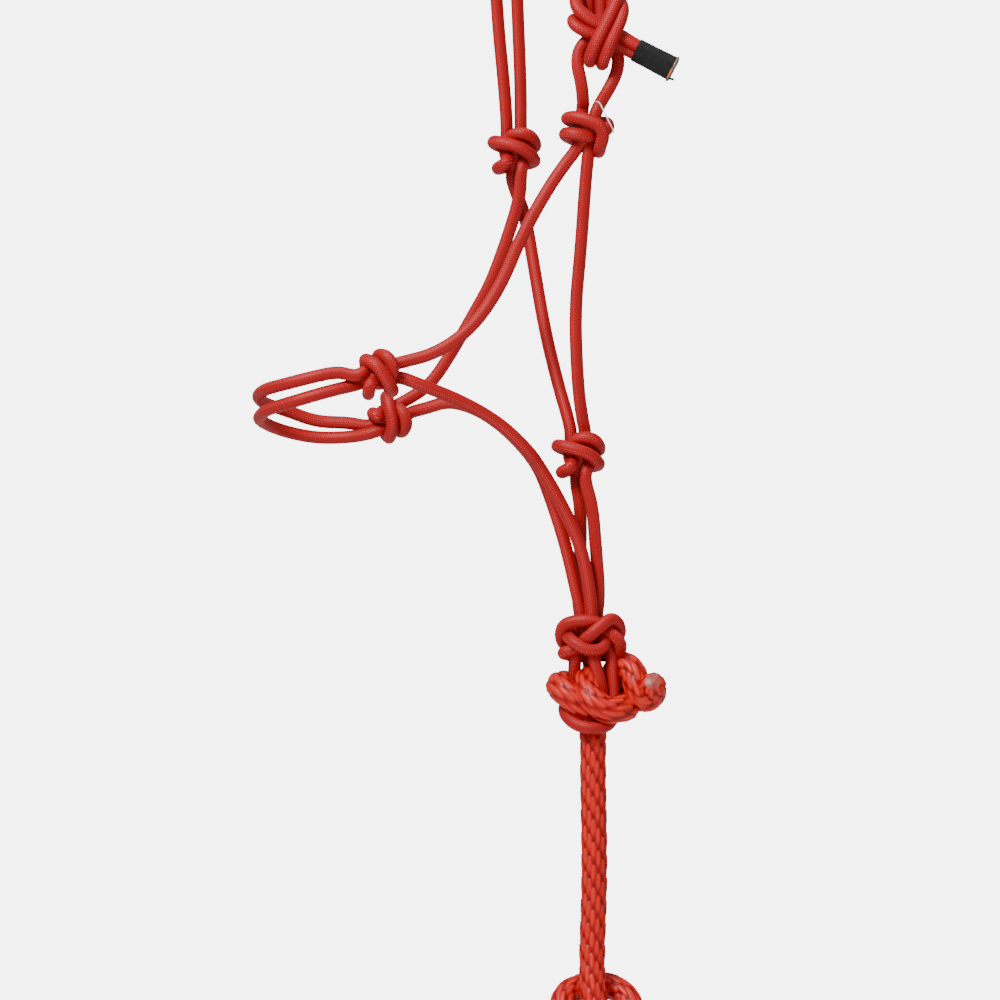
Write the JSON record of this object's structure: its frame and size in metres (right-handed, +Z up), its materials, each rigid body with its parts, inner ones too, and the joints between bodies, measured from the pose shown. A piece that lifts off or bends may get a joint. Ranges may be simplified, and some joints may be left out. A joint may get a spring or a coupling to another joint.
{
  "type": "rope halter",
  "caption": "Knotted rope halter for a horse, tied from one red kernmantle rope, with a thick solid-braid lead rope knotted into its lead loop.",
  "frame": {"origin": "inner top of the crown bend, where a peg or the horse's poll carries the halter", "axes": "+Z up, -X towards the horse's nose, -Y the near side, where the crown is tied"},
  "size_m": [0.3347, 0.1166, 1.1335],
  "materials": {
    "halter_rope": "fine kernmantle braid in crimson polyester, with a soft sheen",
    "lead_rope": "glossy solid braid in orange-red polyester",
    "tape": "black self-adhesive tape",
    "melted_end": "cut and melted rope end, grey-brown"
  },
  "bodies": {
    "halter": {"crown_strand_front": "halter_rope", "crown_strand_back": "halter_rope", "crown_tie_knot": "halter_rope", "crown_bight_left": "halter_rope", "crown_bight_right": "halter_rope", "tie_loop_left": "halter_rope", "tie_loop_right": "halter_rope", "cheek_knot_near": "halter_rope", "cheek_knot_far": "halter_rope", "cheek_strand_near": "halter_rope", "cheek_strand_far": "halter_rope", "throat_strand_near": "halter_rope", "throat_strand_far": "halter_rope", "throat_knot": "halter_rope", "jaw_strand_left": "halter_rope", "jaw_strand_right": "halter_rope", "nose_knot_near": "halter_rope", "nose_knot_far": "halter_rope", "chin_strand_near": "halter_rope", "chin_strand_far": "halter_rope", "fiador_knot": "halter_rope"},
    "noseband": {"noseband_upper": "halter_rope", "noseband_lower": "halter_rope"},
    "tail": {"tail_strand_upper": "halter_rope", "tail_strand_lower": "halter_rope", "tail_tape": "tape", "tail_melted_end": "melted_end"},
    "lead_loop": {"lead_loop_left": "halter_rope", "lead_loop_right": "halter_rope"},
    "lead": {"lead_knot": "lead_rope", "lead_rope_upper": "lead_rope", "lead_stopper_knot": "lead_rope", "lead_rope_lower": "lead_rope", "lead_coil": "lead_rope", "coil_tie": "tape"}
  },
  "joints": [
    {"name": "noseband_fold", "type": "hinge", "parent": "halter", "child": "noseband", "pos_m": [-0.1167, -0.042, -0.4462], "axis": [0.0902, 0.9468, -0.3088], "range_deg": [-60, 50]},
    {"name": "tail_flex", "type": "hinge", "parent": "halter", "child": "tail", "pos_m": [0.0287, -0.034, -0.2154], "axis": [0, 1, 0], "range_deg": [-30, 10]},
    {"name": "lead_loop_swing", "type": "hinge", "parent": "halter", "child": "lead_loop", "pos_m": [0.0233, 0, -0.6196], "axis": [0, 1, 0], "range_deg": [-35, 35]},
    {"name": "lead_swing", "type": "hinge", "parent": "lead_loop", "child": "lead", "pos_m": [0.034, 0, -0.6623], "axis": [1, 0, 0], "range_deg": [-50, 50]}
  ]
}
